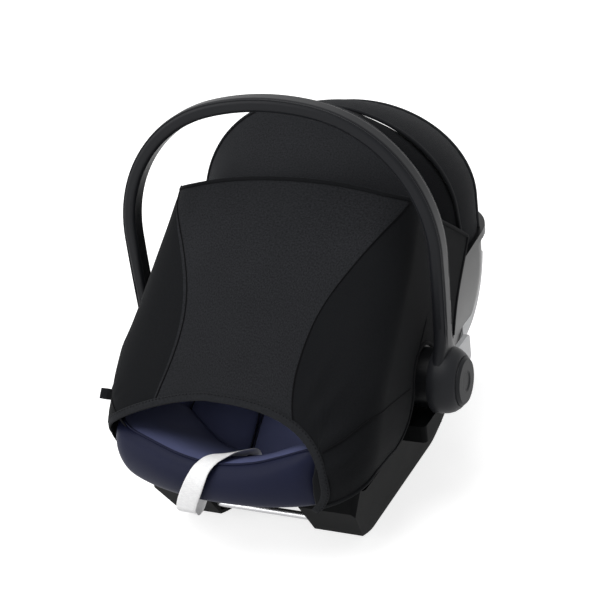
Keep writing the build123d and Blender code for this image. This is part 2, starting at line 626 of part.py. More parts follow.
# Arch of the canopy in its own leaning plane, as a closed outline
def arch_face(arch, grow, drop):
    crown_y, crown_z, foot_y, half = arch
    rise = math.hypot(crown_y - foot_y, crown_z - CANOPY_FOOT)
    up = ((crown_y - foot_y) / rise, (crown_z - CANOPY_FOOT) / rise)
    plane = Plane(origin=(0, foot_y, CANOPY_FOOT), x_dir=(1, 0, 0), z_dir=(0, -up[1], up[0]))
    half = half + grow
    top = rise + grow
    shoulder = rise * ARCH_SHOULDER
    crown = EllipticalCenterArc((0, shoulder), half, top - shoulder, arc_size=180)
    sides = Polyline((-half, shoulder), (-half, -drop), (half, -drop), (half, shoulder))
    return plane * make_face([crown, sides])


def cloth_tunnel(front, rear):
    outside = loft([arch_face(front, 0, 0), arch_face(rear, 0, 0)])
    lining = [arch_face(arch, -CANOPY_CLOTH, CANOPY_CLOTH) for arch in (front, rear)]
    return outside - loft(lining)


# Flat bow inside the cloth, standing on one side of its arch
def canopy_bow(arch, depth, inset):
    outside = -CANOPY_CLOTH - inset
    ring = arch_face(arch, outside, 0) - arch_face(arch, outside - BOW_THICKNESS, BOW_THICKNESS)
    return extrude(ring, depth)


# Clips on the shell's inner wall, one under each foot of the two bows
def canopy_clips():
    clips = []
    for foot in (BOW_ARCH[2], BAND_REAR_ARCH[2]):
        clip = block((CLIP_INSIDE, SIDE_REACH), (foot - CLIP_DEPTH / 2, foot + CLIP_DEPTH / 2),
                     (CANOPY_FOOT - CLIP_HEIGHT, CANOPY_FOOT - LAYER_GAP))
        clips.append(clip & tub(-SHELL_WALL - LAYER_GAP))
    return both_sides("canopy_clips", Compound(clips))


def build_canopy():
    nodes = {}
    nodes["canopy_visor"] = cloth_tunnel(VISOR_ARCH, BOW_ARCH)
    nodes["canopy_main"] = cloth_tunnel(BOW_ARCH, MAIN_ARCH)
    nodes["canopy_band"] = cloth_tunnel(BAND_FRONT_ARCH, BAND_REAR_ARCH) & above_rim(LAYER_GAP)
    nodes["canopy_front_bow"] = canopy_bow(BOW_ARCH, -BOW_DEPTH, BOW_INSET)
    nodes["canopy_rear_bow"] = canopy_bow(BAND_REAR_ARCH, BOW_DEPTH, REAR_BOW_INSET)
    nodes.update(canopy_clips())
    return nodes


def cover_form(grow):
    sections = []
    for height, front, half in COVER_LEVELS:
        outline = plan_outline(front + grow, COVER_BACK, half + grow, COVER_BOWS, COVER_CORNERS)
        sections.append(Pos(0, 0, height) * outline)
    return loft(sections)


def hem_opening(grow):
    half = HEM_HALF_WIDTH + grow
    rise = HEM_TOP + grow - HEM_SHOULDER
    bend = (HEM_BEND[0] * half, HEM_SHOULDER + HEM_BEND[1] * rise)
    top = (0, HEM_SHOULDER + rise)
    crown = Spline((half, HEM_SHOULDER), bend, top, (-bend[0], bend[1]), (-half, HEM_SHOULDER),
                   tangents=[(0, 1), (0, -1)])
    legs = Polyline((-half, HEM_SHOULDER), (-half, -SIDE_REACH), (half, -SIDE_REACH), (half, HEM_SHOULDER))
    return Pos(HEM_CENTRE, RIM_RISE_END, 0) * extrude(Plane.XZ * make_face([crown, legs]), SIDE_REACH)


def build_cover():
    skirt = COVER_SKIRT + COVER_SKIRT_REAR
    below = Polygon(*skirt, (skirt[-1][0], -SIDE_REACH), (skirt[0][0], -SIDE_REACH), align=None)
    edge = COVER_EDGE
    behind = Polygon(*edge, (2 * HEAD_REACH, edge[-1][1]), (2 * HEAD_REACH, edge[0][1]), align=None)
    trims = [wide_prism(below), wide_prism(behind), side_cylinder(COVER_HUB_RADIUS, -SIDE_REACH, SIDE_REACH)]
    cloth = cover_form(0) - cover_form(-COVER_CLOTH)
    hem = cover_form(HEM_PROUD) - cover_form(-COVER_CLOTH)
    hem = (hem & hem_opening(HEM_BINDING)) - hem_opening(0)
    cloth = cloth - hem_opening(HEM_BINDING)
    for trim in trims:
        cloth = cloth - trim
        hem = hem - trim
    return {"sun_cover": cloth.solids().sort_by(SortBy.VOLUME)[-1], "hem_binding": hem}


nodes = {"seat_shell": build_shell()}
nodes.update(build_padding())
nodes.update(build_rockers())
nodes.update(build_handle())
nodes.update(build_hubs())
nodes.update(build_fittings())
nodes.update(build_headrest())
nodes.update(build_harness())
nodes.update(build_adjuster())
nodes["pull_strap"] = build_pull_strap()
nodes.update(build_canopy())
nodes.update(build_cover())

# The origin is on the floor under the middle of the whole seat
box = Compound(list(nodes.values())).bounding_box()
seat_place = Pos(0, -box.center().Y, -box.min.Z)
print("hub axis at y, z:", -box.center().Y, -box.min.Z)
os.makedirs("parts", exist_ok=True)
for name, part in nodes.items():
    export_step(seat_place * part, "parts/" + name + ".step")
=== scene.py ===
import json
import math
from functools import partialmethod
import bmesh
import bpy
from mathutils import Matrix, Vector


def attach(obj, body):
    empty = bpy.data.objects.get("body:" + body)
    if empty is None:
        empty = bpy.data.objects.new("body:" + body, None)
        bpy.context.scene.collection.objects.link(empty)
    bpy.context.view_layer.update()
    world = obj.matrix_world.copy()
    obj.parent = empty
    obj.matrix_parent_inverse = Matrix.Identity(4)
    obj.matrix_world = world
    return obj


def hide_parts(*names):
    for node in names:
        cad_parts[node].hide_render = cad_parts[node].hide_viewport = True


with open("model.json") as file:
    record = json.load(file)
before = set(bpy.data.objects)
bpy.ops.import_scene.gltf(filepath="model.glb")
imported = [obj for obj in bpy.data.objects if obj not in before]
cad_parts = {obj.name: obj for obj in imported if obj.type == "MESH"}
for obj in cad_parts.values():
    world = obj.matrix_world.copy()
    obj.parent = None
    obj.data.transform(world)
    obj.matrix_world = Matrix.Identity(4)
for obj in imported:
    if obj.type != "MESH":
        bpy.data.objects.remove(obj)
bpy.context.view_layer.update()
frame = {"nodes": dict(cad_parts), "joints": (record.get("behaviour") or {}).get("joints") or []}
nodes = frame["nodes"]
scene = bpy.context.scene
hub = Vector(next(j["pos_m"] for j in frame["joints"] if j["name"] == "handle_swing"))
mm = 0.001
upward = Vector((0, 0, 1))
print("frame loaded, hub axis at", tuple(hub))


# A socket that takes part in Python expressions; each operator adds one Math node
class Wire:
    def __init__(self, finish, socket):
        self.finish = finish
        self.socket = socket

    def maths(self, second, operation):
        return self.finish.node("Math", {"operation": operation}, {0: self, 1: second})

    def sine(self):
        return self.maths(0.0, "SINE")

    __add__ = __radd__ = partialmethod(maths, operation="ADD")
    __mul__ = __rmul__ = partialmethod(maths, operation="MULTIPLY")
    __sub__ = partialmethod(maths, operation="SUBTRACT")


# A material, or the sky, under construction
class Finish:
    def __init__(self, name, store=bpy.data.materials, shader="Principled BSDF"):
        self.made = store.new(name)
        self.made.use_nodes = True
        self.tree = self.made.node_tree
        self.shader = self.tree.nodes[shader]

    def plug(self, socket, value):
        if isinstance(value, Wire):
            self.tree.links.new(value.socket, socket)
        else:
            socket.default_value = value

    def node(self, kind, settings, inputs, output=0):
        made = self.tree.nodes.new("ShaderNode" + kind)
        for name, value in settings.items():
            setattr(made, name, value)
        for key, value in inputs.items():
            self.plug(made.inputs[key], value)
        return Wire(self, made.outputs[output])

    def shade(self, values):
        for name, value in values.items():
            self.plug(self.shader.inputs[name], value)
        return self.made

    def objectPlace(self, stretch=(1, 1, 1)):
        place = self.node("TexCoord", {}, {}, "Object")
        return self.node("Mapping", {}, {"Vector": place, "Scale": stretch})

    def noise(self, place, scale, detail=3.0, roughness=0.55):
        inputs = {"Vector": place, "Scale": scale, "Detail": detail, "Roughness": roughness}
        return self.node("TexNoise", {}, inputs)

    def mix(self, factor, first, second):
        return self.node("Mix", {"data_type": "RGBA"}, {0: factor, 6: first, 7: second}, 2)

    # One colour that runs between a darker and a lighter share of itself
    def varied(self, factor, colour, low, high):
        return self.mix(factor, scaled(colour, low), scaled(colour, high))

    def bump(self, height, distance, strength):
        return self.node("Bump", {}, {"Strength": strength, "Distance": distance, "Height": height})

    # One for the rays that see a thing, none for the rays that it lights
    def seen(self):
        kinds = ("Is Camera Ray", "Is Glossy Ray", "Is Transmission Ray")
        rays = [self.node("LightPath", {}, {}, kind) for kind in kinds]
        return rays[0] + rays[1] + rays[2]


# sRGB values, 0 to 255, as a linear colour
def tint(red, green, blue):
    def linear(value):
        share = value / 255
        return share / 12.92 if share <= 0.04045 else ((share + 0.055) / 1.055) ** 2.4
    return (linear(red), linear(green), linear(blue), 1.0)


def scaled(colour, share):
    return tuple(c * share for c in colour[:3]) + (1.0,)


# Colour, roughness, specular level
plasticSet = {
    "handle": (tint(26, 27, 30), 0.34, 0.13),
    "hub": (tint(32, 33, 36), 0.44, 0.14),
    "cap": (tint(34, 35, 37), 0.46, 0.10),
    "shell": (tint(8, 9, 11), 0.30, 0.20),
    "rocker": (tint(7, 8, 9), 0.56, 0.04),
    "trim": (tint(24, 25, 28), 0.50, 0.16),
    "pale": (tint(206, 207, 209), 0.42, 0.40),
    "red": (tint(150, 18, 20), 0.30, 0.50),
    "foam": (tint(34, 34, 36), 0.90, 0.10),
}
plasticGrain = {"grain": 1700.0, "cloud": 14.0, "depth": 0.10 * mm, "strength": 0.45}


# Moulded plastic: spark-eroded grain and slight cloudiness
def mouldedPlastic(name):
    base, roughness, specular = plasticSet[name]
    finish = Finish(name + "Plastic")
    place = finish.objectPlace()
    grain = finish.noise(place, plasticGrain["grain"], 2.0)
    cloud = finish.noise(place, plasticGrain["cloud"], 4.0)
    return finish.shade({
        "Base Color": finish.varied(cloud, base, 0.86, 1.16),
        "Roughness": roughness - 0.05 + 0.10 * cloud + 0.05 * grain,
        "Specular IOR Level": specular,
        "Normal": finish.bump(grain, plasticGrain["depth"], plasticGrain["strength"])})


steelSet = {"colour": tint(196, 196, 198), "roughness": 0.24, "drawn": (14.0, 900.0, 900.0), "smear": 40.0,
            "depth": 0.04 * mm, "strength": 0.35}


# Drawn steel: fine lines along the bar
def drawnSteel():
    finish = Finish("drawnSteel")
    lines = finish.noise(finish.objectPlace(steelSet["drawn"]), 1.0, 3.0)
    smear = finish.noise(finish.objectPlace(), steelSet["smear"], 3.0)
    return finish.shade({
        "Base Color": finish.varied(smear, steelSet["colour"], 0.88, 1.0), "Metallic": 1.0,
        "Roughness": steelSet["roughness"] - 0.06 + 0.12 * lines + 0.06 * smear,
        "Normal": finish.bump(lines, steelSet["depth"], steelSet["strength"])})


# Dark yarn, light yarn, pitch of the weave in mm, scale of the flecks, depth of the relief in mm, shine
clothSet = {
    "coverCentre": (tint(17, 18, 20), tint(49, 50, 53), 1.5, 430, 0.24, 1),
    "coverSide": (tint(12, 13, 15), tint(25, 26, 28), 1.2, 800, 0.16, 1),
    "visor": (tint(24, 25, 27), tint(52, 53, 56), 1.2, 520, 0.18, 1),
    # The canopy's middle sheet is far darker than the visor and the band: painted shade for where it dips
    # under the band
    "canopyPaintedShade": (tint(6, 7, 9), tint(15, 16, 19), 1.2, 700, 0.18, 0.3),
    "band": (tint(22, 23, 25), tint(40, 41, 44), 1.2, 700, 0.18, 1),
    "hem": (tint(24, 25, 27), tint(44, 45, 48), 1.6, 500, 0.25, 1),
    "blackWeb": (tint(16, 16, 18), tint(32, 33, 36), 2.0, 400, 0.35, 1),
    "whiteWeb": (tint(232, 232, 233), tint(250, 250, 250), 2.0, 300, 0.35, 1),
    "seam": (tint(6, 6, 8), tint(14, 14, 16), 0.8, 900, 0.10, 1),
    "thread": (tint(14, 14, 16), tint(26, 26, 29), 0.6, 900, 0.10, 1),
}
clothBase = {"cloud": 9.0, "specular": 0.06, "sheen": 0.03, "sheenRoughness": 0.5, "strength": 0.6}


# Woven cloth: a plain weave on the piece's own UV map, in metres, with flecks of lighter yarn
def wovenCloth(name):
    dark, light, pitch, flecks, depth, shine = clothSet[name]
    finish = Finish(name + "Cloth")
    place = finish.node("UVMap", {"uv_map": "cloth"}, {})
    across, along = (finish.node("SeparateXYZ", {}, {"Vector": place}, axis) for axis in "XY")
    turns = 2 * math.pi / (pitch * mm)
    weave = (across * turns).sine() * (along * turns).sine() * 0.5 + 0.5
    fleck = finish.noise(place, flecks, 2.0, 0.7)
    cloud = finish.noise(finish.objectPlace(), clothBase["cloud"], 3.0)
    share = weave * 0.30 + fleck * 1.30 + cloud * 0.30 - 0.55
    return finish.shade({
        "Base Color": finish.mix(share, dark, light), "Roughness": 0.80 + 0.15 * weave,
        "Specular IOR Level": clothBase["specular"] * shine, "Sheen Weight": clothBase["sheen"] * shine,
        "Sheen Roughness": clothBase["sheenRoughness"],
        "Normal": finish.bump(weave + fleck, depth * mm, clothBase["strength"])})


# Colour, roughness, specular level
leatherSet = {
    "leather": (tint(22, 25, 45), 0.47, 0.10),
    # The lining is a paler navy than the leather: partly its own cloth, partly painted light for the light
    # that reaches the inner slope and the pads under the cover
    "lining": (tint(84, 89, 122), 0.52, 0.12),
    "leatherDark": (tint(18, 20, 32), 0.55, 0.15),
}
leatherGrain = {"pebble": 620.0, "cloud": 22.0, "fine": 1500.0, "depth": 0.16 * mm, "strength": 0.5}


# Soft coated leather: pebbled grain with fine creases between the pebbles
def softLeather(name):
    base, roughness, specular = leatherSet[name]
    finish = Finish(name)
    place = finish.objectPlace()
    pebble = finish.node("TexVoronoi", {"feature": "DISTANCE_TO_EDGE"},
                         {"Vector": place, "Scale": leatherGrain["pebble"]})
    cloud = finish.noise(place, leatherGrain["cloud"], 4.0)
    fine = finish.noise(place, leatherGrain["fine"], 2.0)
    return finish.shade({
        "Base Color": finish.varied(cloud, base, 0.84, 1.18),
        "Roughness": roughness - 0.06 + 0.12 * cloud + 0.08 * fine,
        "Specular IOR Level": specular,
        "Normal": finish.bump(pebble * 1.6 + 0.3 * fine, leatherGrain["depth"], leatherGrain["strength"])})


looks = {name: mouldedPlastic(name) for name in plasticSet}
looks.update({name: wovenCloth(name) for name in clothSet})
looks["steel"] = drawnSteel()
looks.update({name: softLeather(name) for name in leatherSet})
print("finishes made:", len(looks))

# The finish of each CAD node that stays in view, by the start of its name; the rest take the trim
nodeLooks = {
    "handle": "handle_",
    "cap": ("hub_cap", "release_button"),
    "shell": ("hub_base", "seat_shell"),
    "rocker": ("rocker", "adapter_bracket"),
    "pale": ("belt_hook", "back_belt_guide", "lock_gear", "adjuster_button"),
    "foam": "foam_liner",
    "red": "buckle_button",
    "steel": ("front_latch_bar", "rear_latch_bar", "pivot_pin", "lock_spring", "buckle_tongue",
              "crotch_anchor"),
}

for nodeName, node in nodes.items():
    nodeLook = next((look for look, starts in nodeLooks.items() if nodeName.startswith(starts)), "trim")
    node.data.materials.clear()
    node.data.materials.append(looks[nodeLook])
    for polygon in node.data.polygons:
        polygon.material_index = 0


# Keys in metres from rows in millimetres; the first values of a row may stay as they are
def metres(rows, kept=0):
    return [row[:kept] + tuple(value * mm for value in row[kept:]) for row in rows]


# A power that keeps the sign
def bent(value, power):
    return math.copysign(abs(value) ** power, value)


def between(start, end, share):
    return start + (end - start) * share


# Smooth run through keys (t, value, value...), with slopes taken from the neighbours
def through(keys, t):
    t = min(max(t, keys[0][0]), keys[-1][0])
    last = len(keys) - 1
    i = next((j for j in range(last) if t <= keys[j + 1][0]), last - 1)

    def slope(j, k):
        before, after = max(j - 1, 0), min(j + 1, last)
        return (keys[after][k] - keys[before][k]) / (keys[after][0] - keys[before][0])

    step = keys[i + 1][0] - keys[i][0]
    f = (t - keys[i][0]) / step
    values = []
    for k in range(1, len(keys[0])):
        start, end = keys[i][k], keys[i + 1][k]
        values.append((2 * f ** 3 - 3 * f ** 2 + 1) * start + (f ** 3 - 2 * f ** 2 + f) * step * slope(i, k)
                      + (3 * f ** 2 - 2 * f ** 3) * end + (f ** 3 - f ** 2) * step * slope(i + 1, k))
    return values


# Direction of a path at t
def heading(at, t, step=0.004):
    return (at(min(1.0, t + step)) - at(max(0.0, t - step))).normalized()


def pathLength(at, parts):
    return sum((at((i + 1) / parts) - at(i / parts)).length for i in range(parts))


# Plan outline of the cover and of the front roll: a bowed front, a round corner, then the straight side
class Outline:
    def __init__(self, levels, bow, corner):
        self.levels = levels
        self.bow = bow
        self.corner = corner

    def shape(self, z):
        front, half = through(self.levels, z)
        run = half * (1 - self.corner)
        lean = math.atan(2 * self.bow * run / half)
        radius = (half - run) / (1 - math.sin(lean))
        turnY = self.bow * half * (run / half) ** 2 - front
        return front, half, run, lean, radius, turnY

    # Point at height z and at a signed distance round the outline from the middle of the front
    def point(self, s, z):
        front, half, run, lean, radius, turnY = self.shape(z)
        side = -1 if s < 0 else 1
        s = abs(s)
        arc = radius * (math.pi / 2 - lean)
        if s <= run:
            return Vector((side * s, self.bow * half * (s / half) ** 2 - front, z))
        if s <= run + arc:
            angle = lean + (s - run) / radius
            x = run + radius * (math.sin(angle) - math.sin(lean))
            return Vector((side * x, turnY + radius * (math.cos(lean) - math.cos(angle)), z))
        return Vector((side * half, turnY + radius * math.cos(lean) + s - run - arc, z))

    # Distance round the outline to a place y on the straight side
    def reach(self, y, z):
        _, _, run, lean, radius, turnY = self.shape(z)
        return run + radius * (math.pi / 2 - lean) + y - (turnY + radius * math.cos(lean))

    def normal(self, s, z):
        step = 0.5 * mm
        across = self.point(s + step, z) - self.point(s - step, z)
        up = self.point(s, z + step) - self.point(s, z - step)
        return across.cross(up).normalized()


def meshFrom(bm, name):
    mesh = bpy.data.meshes.new(name)
    bm.to_mesh(mesh)
    bm.free()
    return mesh


def dress(mesh, materials):
    mesh.materials.clear()
    for look in materials:
        mesh.materials.append(looks[look])
    for polygon in mesh.polygons:
        polygon.use_smooth = True


def inScene(name, data):
    thing = bpy.data.objects.new(name, data)
    scene.collection.objects.link(thing)
    return thing


def linked(mesh, materials, body="seat", replaces=()):
    piece = inScene(mesh.name, mesh)
    dress(mesh, materials)
    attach(piece, body)
    if replaces:
        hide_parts(*replaces)
    return piece


# A grid bent into place: place(u, v) for u and v from 0 to 1; the UV map is in metres
def sheetMesh(name, across, along, size, place, closed=False):
    weld = 0.02 * mm
    bm = bmesh.new()
    uvLayer = bm.loops.layers.uv.new("cloth")
    bmesh.ops.create_grid(bm, x_segments=across, y_segments=along, size=0.5)
    flat = {v: (v.co.x + 0.5, v.co.y + 0.5) for v in bm.verts}
    for face in bm.faces:
        for loop in face.loops:
            u, v = flat[loop.vert]
            loop[uvLayer].uv = (u * size[0], v * size[1])
    for v, (a, b) in flat.items():
        v.co = hub + place(a, b)
    if closed:
        bmesh.ops.remove_doubles(bm, verts=bm.verts, dist=weld)
        bmesh.ops.holes_fill(bm, edges=[e for e in bm.edges if e.is_boundary], sides=0)
        bmesh.ops.recalc_face_normals(bm, faces=bm.faces)
    return meshFrom(bm, name)


# A round-edged strip of (steps, width, thickness, length); path(t) gives its centre, the way across and out
def makeStrip(name, strip, path, look, body="seat", replaces=(), around=12):
    steps, width, thickness, length = strip
    edgePower, risePower = 0.5, 0.7

    def place(u, v):
        centre, across, out = path(v)
        angle = 2 * math.pi * u
        edge = width / 2 * bent(math.cos(angle), edgePower)
        return centre + across * edge + out * (thickness / 2 * bent(math.sin(angle), risePower))

    size = (2 * (width + thickness), length)
    mesh = sheetMesh(name, around, steps, size, place, closed=True)
    return linked(mesh, [look], body, replaces)


def stripOf(settings, length):
    return settings["steps"], settings["width"], settings["thickness"], length


# Path of a piping cord that lies on a line
def pipeOn(at, step, lift=0.0):
    def path(t):
        along = (at(t + step) - at(t - step)).normalized()
        return at(t) + upward * lift, along.cross(upward).normalized(), upward
    return path


def addModifier(piece, name, kind, **settings):
    modifier = piece.modifiers.new(name, kind)
    for key, value in settings.items():
        setattr(modifier, key, value)


def roundOff(piece, cloth=0.0):
    if cloth:
        addModifier(piece, "cloth", "SOLIDIFY", thickness=cloth, offset=-1.0)
    addModifier(piece, "round", "SUBSURF", levels=1, render_levels=1)


# The first material for the faces whose share across the UV map passes the test, the second for the rest
def splitMaterials(mesh, width, isFirst):
    uvs = mesh.uv_layers["cloth"].data
    for polygon in mesh.polygons:
        u = sum(uvs[i].uv.x for i in polygon.loop_indices) / len(polygon.loop_indices) / width
        polygon.material_index = 0 if isFirst(u) else 1


coverSet = {
    # Plan outlines: height, front, half width
    "levels": metres([(-82, 204, 154), (-20, 217, 169), (42, 183, 171), (100, 112, 168), (160, 40, 164),
                      (215, -16, 154), (244, -48, 132)]),
    "bow": 0.18, "corner": 0.24, "cloth": 1.4 * mm, "stretch": 1.04,
    # Arched hem: its middle, its reach and roundness on the left and right, its foot and top
    "hemCentre": -17 * mm, "hemHalf": {-1: 167 * mm, 1: 139 * mm}, "hemPower": {-1: 1.55, 1: 2.5},
    "hemShoulder": -36 * mm, "hemTop": 43 * mm,
    # Legs of the hem: how far they draw in and drop, and the shares of the lower edge that they take
    "legDraw": {-1: 0.0, 1: 18 * mm}, "legDrop": 38 * mm, "legStart": 0.16, "legEnd": 0.24,
    "footLevel": 26 * mm, "seamShare": 0.30, "across": 140, "along": 56, "size": (0.90, 0.30),
    # Seam between the middle panel and the sides: height, distance from the middle
    "seam": metres([(20, 92), (44, 84), (70, 79), (100, 81), (124, 90), (150, 108), (180, 135), (203, 166)]),
    "topMiddle": 229 * mm, "topCorner": 203 * mm, "topPower": 2.1,
    # Lower edge along the flank and round the hub, as share, y, z
    "skirt": metres([(0.36, -150, -44), (0.46, -112, -47), (0.56, -80, -50), (0.63, -54, -36),
                     (0.68, -39, -6), (0.73, -33, 21), (0.78, -15, 37), (0.83, 10, 39), (0.88, 33, 24),
                     (0.93, 54, 9), (1.0, 106, 4)], 1),
    # Rear edge down from the top corner, as share, y, z
    "rearEdge": metres([(0.0, 56, 203), (0.3, 79, 174), (0.55, 114, 151), (0.75, 144, 132), (0.9, 172, 114),
                        (1.0, 190, 102)], 1),
    # Creases pulled out of the hem, in mm: from (s, z) to (s, z), width, height
    "creases": [((102, 22), (150, 72), 7, 4.4), ((112, 2), (172, 38), 6, 4.0),
                ((119, -22), (190, 4), 7, 3.6), ((-140, 14), (-182, 56), 8, 3.0),
                ((-150, -14), (-205, 12), 7, 2.6), ((92, 34), (124, 104), 6, 2.8),
                ((160, 60), (215, 30), 9, 2.4), ((-165, 70), (-220, 44), 9, 1.8)],
    "creaseMiddle": 0.35, "creaseReach": 0.75,
}
coverForm = Outline(coverSet["levels"], coverSet["bow"], coverSet["corner"])


def hemHeight(s):
    away = s - coverSet["hemCentre"]
    side = -1 if away < 0 else 1
    share = min(1.0, abs(away) / coverSet["hemHalf"][side])
    power = coverSet["hemPower"][side]
    return between(coverSet["hemShoulder"], coverSet["hemTop"], (1 - share ** power) ** (1 / power))


def seamReach(z):
    return through(coverSet["seam"], z)[0]


def topHeight(share):
    return between(coverSet["topMiddle"], coverSet["topCorner"], share ** coverSet["topPower"])


# Lower edge outside the seam: round the hem, down its leg, along the flank and round the hub to the tail
def lowerEdge(side, k):
    reachOut = coverSet["hemHalf"][side] + side * coverSet["hemCentre"]
    low, drop, draw = coverSet["hemShoulder"], coverSet["legDrop"], coverSet["legDraw"][side]
    foot = seamReach(coverSet["footLevel"])
    legStart, legEnd, corner = coverSet["legStart"], coverSet["legEnd"], coverSet["skirt"][0][0]
    if k <= legStart:
        s = between(foot, reachOut, math.sin(math.pi / 2 * k / legStart))
        return s, hemHeight(side * s)
    if k <= legEnd:
        f = (k - legStart) / (legEnd - legStart)
        return reachOut - draw * f * f, low - drop * f
    y, z = through(coverSet["skirt"], k)
    s = coverForm.reach(y, z)
    if k < corner:
        f = (k - legEnd) / (corner - legEnd)
        return between(reachOut - draw, s, f), between(low - drop, z, f)
    return s, z


def creaseHeight(s, z):
    total = 0.0
    here = Vector((s, z))
    for start, end, width, height in coverSet["creases"]:
        a, b = Vector(start) * mm, Vector(end) * mm
        run = b - a
        share = (here - a).dot(run) / run.length_squared
        away = abs((here.x - a.x) * run.y - (here.y - a.y) * run.x) / run.length
        fade = max(0.0, 1 - abs(share - coverSet["creaseMiddle"]) / coverSet["creaseReach"])
        total += height * mm * fade * fade * math.exp(-(away / (width * mm)) ** 2)
    return total


# Distance round and height of the cloth at u across (-1 to 1) and v up the sheet
def coverPlace(u, v):
    side = -1 if u < 0 else 1
    a = abs(u)
    seamEnd = coverSet["seamShare"]
    foot = seamReach(coverSet["footLevel"])
    if a <= seamEnd:
        f = a / seamEnd
        low = hemHeight(side * f * foot)
        z = between(low, topHeight(f), v)
        return side * f * seamReach(z), z
    k = (a - seamEnd) / (1 - seamEnd)
    lowS, lowZ = lowerEdge(side, k)
    y, topZ = through(coverSet["rearEdge"], k)
    topS = coverForm.reach(y, topZ)
    footZ, cornerZ = hemHeight(side * foot), coverSet["topCorner"]
    straight = between(seamReach(footZ), seamReach(cornerZ), v)
    bend = (seamReach(between(footZ, cornerZ, v)) - straight) * (1 - k) ** 2
    return side * (between(lowS, topS, v) + bend), between(lowZ, topZ, v)


def coverPoint(s, z):
    return coverForm.point(s, z) + coverForm.normal(s, z) * creaseHeight(s, z)


def makeCover():
    def place(u, v):
        return coverPoint(*coverPlace(2 * u - 1, v))

    size = coverSet["size"]
    mesh = sheetMesh("sunCover", coverSet["across"], coverSet["along"], size, place)
    piece = linked(mesh, ["coverCentre", "coverSide"], replaces=["sun_cover"])
    splitMaterials(mesh, size[0], lambda u: abs(u - 0.5) < coverSet["seamShare"] / 2)
    roundOff(piece, coverSet["cloth"])
    return piece


sunCover = makeCover()
print("sun cover made")

seamSet = {
    # Width, thickness, look
    "thin": (1.7 * mm, 1.2 * mm, "seam"), "roll": (5.0 * mm, 2.6 * mm, "coverSide"), "lift": 0.2 * mm,
    # Straight runs over the sheet: kind, steps, then from and to across it, from and to up it
    "panelSeam": ("thin", 90, 0.30, 0.30, 0.01, 0.995),
    "rearRoll": ("roll", 90, 0.3028, 0.9958, 0.998, 0.998),
    "tailRoll": ("roll", 90, 0.998, 0.998, 0.01, 0.99),
    "skirtRoll": ("roll", 150, 0.47, 0.995, 0.004, 0.004),
    "topRoll": ("roll", 90, -0.2985, 0.2985, 0.998, 0.998),
    # Lower side seam: share, distance round from the middle, height
    "lower": metres([(0.0, 124, 2), (0.15, 142, 11), (0.33, 176, 24), (0.66, 240, 17), (1.0, 292, 8)], 1),
    "lowerSteps": 90, "step": 0.003,
}


# A strip that follows the cover; route(t) gives the distance round and the height
def coverStrip(name, route, kind, steps):
    def at(t):
        return coverPoint(*route(t))

    def path(t):
        out = coverForm.normal(*route(t))
        across = out.cross(heading(at, t, seamSet["step"])).normalized()
        return at(t) + out * seamSet["lift"], across, out

    width, thickness, look = seamSet[kind]
    length = pathLength(lambda t: path(t)[0], parts=100)
    return makeStrip(name, (steps, width, thickness, length), path, look)


def makeCoverSeams():
    def run(start, word="", side=1):
        kind, steps, fromU, toU, fromV, toV = seamSet[start]

        def route(t):
            return coverPlace(side * between(fromU, toU, t), between(fromV, toV, t))

        return coverStrip(start + word, route, kind, steps)

    seams = []
    for word, side in [("Left", -1), ("Right", 1)]:
        def flank(t, side=side):
            s, z = through(seamSet["lower"], t)
            return side * s, z

        seams.append(run("panelSeam", word, side))
        seams.append(coverStrip("flankSeam" + word, flank, "thin", seamSet["lowerSteps"]))
        seams += [run(start, word, side) for start in ("rearRoll", "tailRoll", "skirtRoll")]
    return seams + [run("topRoll")]


coverSeams = makeCoverSeams()

hemSet = {"width": 10.0 * mm, "thickness": 2.8 * mm, "setBack": 3.4 * mm, "legShare": 0.09, "lift": 0.5 * mm,
          "step": 0.002, "steps": 220, "parts": 2000, "stitchGap": 4.4 * mm, "stitchSink": 0.15 * mm,
          "stitchLength": 3.0 * mm, "stitchThickness": 0.7 * mm, "stitchOff": 3.0 * mm}


# Place along the hem, from the foot of its left leg to the foot of its right one
def hemLine(t):
    share = hemSet["legShare"]
    centre, halves = coverSet["hemCentre"], coverSet["hemHalf"]
    low, high = coverSet["hemShoulder"], coverSet["hemTop"]
    if share <= t <= 1 - share:
        angle = math.pi * (1 - (t - share) / (1 - 2 * share))
        side = 1 if math.cos(angle) > 0 else -1
        power = coverSet["hemPower"][side]
        run = halves[side] * bent(math.cos(angle), 2 / power)
        return centre + run, between(low, high, math.sin(angle) ** (2 / power))
    side = -1 if t < share else 1
    f = (share - t) / share if side < 0 else (t - 1 + share) / share
    return centre + side * (halves[side] - coverSet["legDraw"][side] * f * f), low - coverSet["legDrop"] * f


def hemPoint(t):
    return coverForm.point(*hemLine(t))


def hemFrame(t):
    out = coverForm.normal(*hemLine(t))
    across = out.cross(heading(hemPoint, t, hemSet["step"])).normalized()
    return hemPoint(t) + across * hemSet["setBack"] + out * hemSet["lift"], across, out


def makeHem():
    places = [hemFrame(i / hemSet["parts"]) for i in range(hemSet["parts"] + 1)]
    length = sum((b[0] - a[0]).length for a, b in zip(places, places[1:]))
    hem = makeStrip("hemBinding", stripOf(hemSet, length), hemFrame, "hem",
                    replaces=["hem_binding"])
    thin = hemSet["stitchThickness"]
    size = Matrix.Diagonal((thin, hemSet["stitchLength"] / 2, thin, 1.0))
    rise = hemSet["thickness"] / 2 - hemSet["stitchSink"]
    bm = bmesh.new()
    walked = 0.0
    for (here, across, out), (there, _, _) in zip(places, places[1:]):
        walked += (there - here).length
        if walked < hemSet["stitchGap"]:
            continue
        walked = 0.0
        turn = Matrix((across, (there - here).normalized(), out)).transposed().to_4x4()
        spot = Matrix.Translation(hub + here + across * hemSet["stitchOff"] + out * rise)
        bmesh.ops.create_icosphere(bm, subdivisions=1, radius=1.0, matrix=spot @ turn @ size)
    stitches = linked(meshFrom(bm, "hemStitches"), ["thread"])
    print("hem", round(length, 4), "m long")
    return hem, stitches


hemBinding, hemStitches = makeHem()

